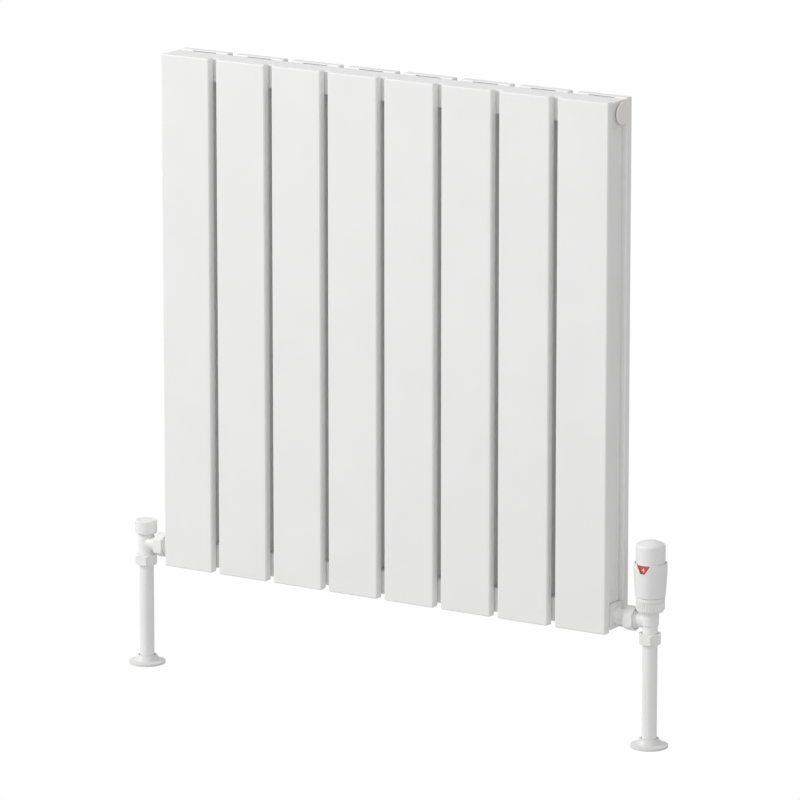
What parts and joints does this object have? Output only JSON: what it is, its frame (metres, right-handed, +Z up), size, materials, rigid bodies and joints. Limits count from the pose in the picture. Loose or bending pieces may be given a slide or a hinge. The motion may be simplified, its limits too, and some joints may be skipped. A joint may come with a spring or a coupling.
{
  "type": "radiator with valve",
  "caption": "Wall-hung double flat-panel radiator with a thermostatic valve and a lockshield valve on floor pipes; its setting dial turns and pushes the valve pin.",
  "frame": {"origin": "centre of the rectangle of wall fixing holes, on the wall's plane, at the radiator's mid-width and mid-height", "axes": "+X along the radiator towards the thermostatic valve, +Y from the room into the wall, +Z up"},
  "size_m": [0.7166, 0.082, 0.728],
  "materials": {
    "white_powder_coat": "smooth satin white powder coat",
    "white_plastic": "satin moulded white plastic",
    "white_coated_brass": "satin white coating on brass",
    "white_pipe_sleeve": "satin white coated tube",
    "plug_grey": "satin light warm grey",
    "seal_rubber": "matt",
    "brass": "turned",
    "spring_steel": "bright",
    "zinc_steel": "zinc plated sheet",
    "red_band": "orange-red moulded plastic, white numerals",
    "sensor_metal": "drawn can",
    "grey_plastic": "moulded",
    "copper": "drawn copper tube"
  },
  "bodies": {
    "radiator": {"front_panel_1": "white_powder_coat", "front_panel_2": "white_powder_coat", "front_panel_3": "white_powder_coat", "front_panel_4": "white_powder_coat", "front_panel_5": "white_powder_coat", "front_panel_6": "white_powder_coat", "front_panel_7": "white_powder_coat", "front_panel_8": "white_powder_coat", "rear_panel_1": "white_powder_coat", "rear_panel_2": "white_powder_coat", "rear_panel_3": "white_powder_coat", "rear_panel_4": "white_powder_coat", "rear_panel_5": "white_powder_coat", "rear_panel_6": "white_powder_coat", "rear_panel_7": "white_powder_coat", "rear_panel_8": "white_powder_coat", "front_convectors": "white_powder_coat", "rear_convectors": "white_powder_coat", "front_weld_pads": "white_powder_coat", "rear_weld_pads": "white_powder_coat", "top_header": "white_powder_coat", "bottom_header": "white_powder_coat", "header_end_caps": "white_powder_coat", "header_bushes": "white_powder_coat", "blanking_plug": "plug_grey", "blanking_plug_seal": "seal_rubber", "air_vent_plug": "plug_grey", "air_vent_seal": "seal_rubber", "bracket_lugs": "white_powder_coat", "lug_pins": "spring_steel", "bracket_liners": "seal_rubber", "wall_brackets": "zinc_steel", "trv_body": "white_coated_brass", "trv_insert": "brass", "trv_return_spring": "spring_steel", "trv_ring_nut": "white_plastic", "trv_head_base": "white_plastic", "trv_sleeve": "white_plastic", "lockshield_body": "white_coated_brass", "lockshield_bonnet": "brass", "lockshield_seal": "seal_rubber", "valve_tails": "white_coated_brass", "union_nuts": "white_coated_brass", "compression_nuts": "white_coated_brass", "olives": "brass", "copper_pipes": "copper", "pipe_sleeves": "white_pipe_sleeve"},
    "trv_dial": {"trv_dome": "white_plastic", "trv_setting_band": "red_band"},
    "trv_sensing_unit": {"trv_sensor": "sensor_metal", "trv_overtravel_spring": "spring_steel", "trv_carrier": "grey_plastic"},
    "trv_valve_pin": {"trv_pin": "spring_steel"},
    "lockshield_spindle": {"lockshield_spindle": "brass"},
    "lockshield_plug": {"lockshield_plug": "brass"},
    "lockshield_cap": {"lockshield_cap": "white_plastic"},
    "bleed_screw": {"bleed_screw": "brass"},
    "floor_collar_left": {"floor_collar_left": "white_plastic"},
    "floor_collar_right": {"floor_collar_right": "white_plastic"}
  },
  "joints": [
    {"name": "trv_turn", "type": "hinge", "parent": "radiator", "child": "trv_dial", "pos_m": [0.337, -0.056, -0.223], "axis": [0, 0, 1], "range_deg": [-240, 60]},
    {"name": "trv_sensor_travel", "type": "slide", "parent": "radiator", "child": "trv_sensing_unit", "axis": [0, 0, 1], "range_m": [-0.0024, 0.0006]},
    {"name": "trv_pin_travel", "type": "slide", "parent": "radiator", "child": "trv_valve_pin", "axis": [0, 0, 1], "range_m": [-0.0024, 0.0006], "deforming": ["trv_return_spring"]},
    {"name": "lockshield_turn", "type": "hinge", "parent": "radiator", "child": "lockshield_spindle", "pos_m": [-0.337, -0.056, -0.273], "axis": [0, 0, 1], "range_deg": [-860, 540]},
    {"name": "lockshield_plug_travel", "type": "slide", "parent": "radiator", "child": "lockshield_plug", "axis": [0, 0, 1], "range_m": [-0.00239, 0.0015]},
    {"name": "lockshield_cap_pull", "type": "slide", "parent": "radiator", "child": "lockshield_cap", "axis": [0, 0, 1], "range_m": [0, 0.05]},
    {"name": "bleed_turn", "type": "hinge", "parent": "radiator", "child": "bleed_screw", "pos_m": [-0.2955, -0.056, 0.285], "axis": [1, 0, 0], "range_deg": [0, 540]},
    {"name": "left_collar_lift", "type": "slide", "parent": "radiator", "child": "floor_collar_left", "axis": [0, 0, 1], "range_m": [0, 0.08]},
    {"name": "right_collar_lift", "type": "slide", "parent": "radiator", "child": "floor_collar_right", "axis": [0, 0, 1], "range_m": [0, 0.08]}
  ],
  "couplings": [
    {"joint": "trv_turn", "follows": "trv_sensor_travel", "rad_per_m": 1745.3},
    {"joint": "trv_pin_travel", "follows": "trv_sensor_travel", "ratio": 1},
    {"joint": "lockshield_turn", "follows": "lockshield_plug_travel", "rad_per_m": 6283.2}
  ]
}
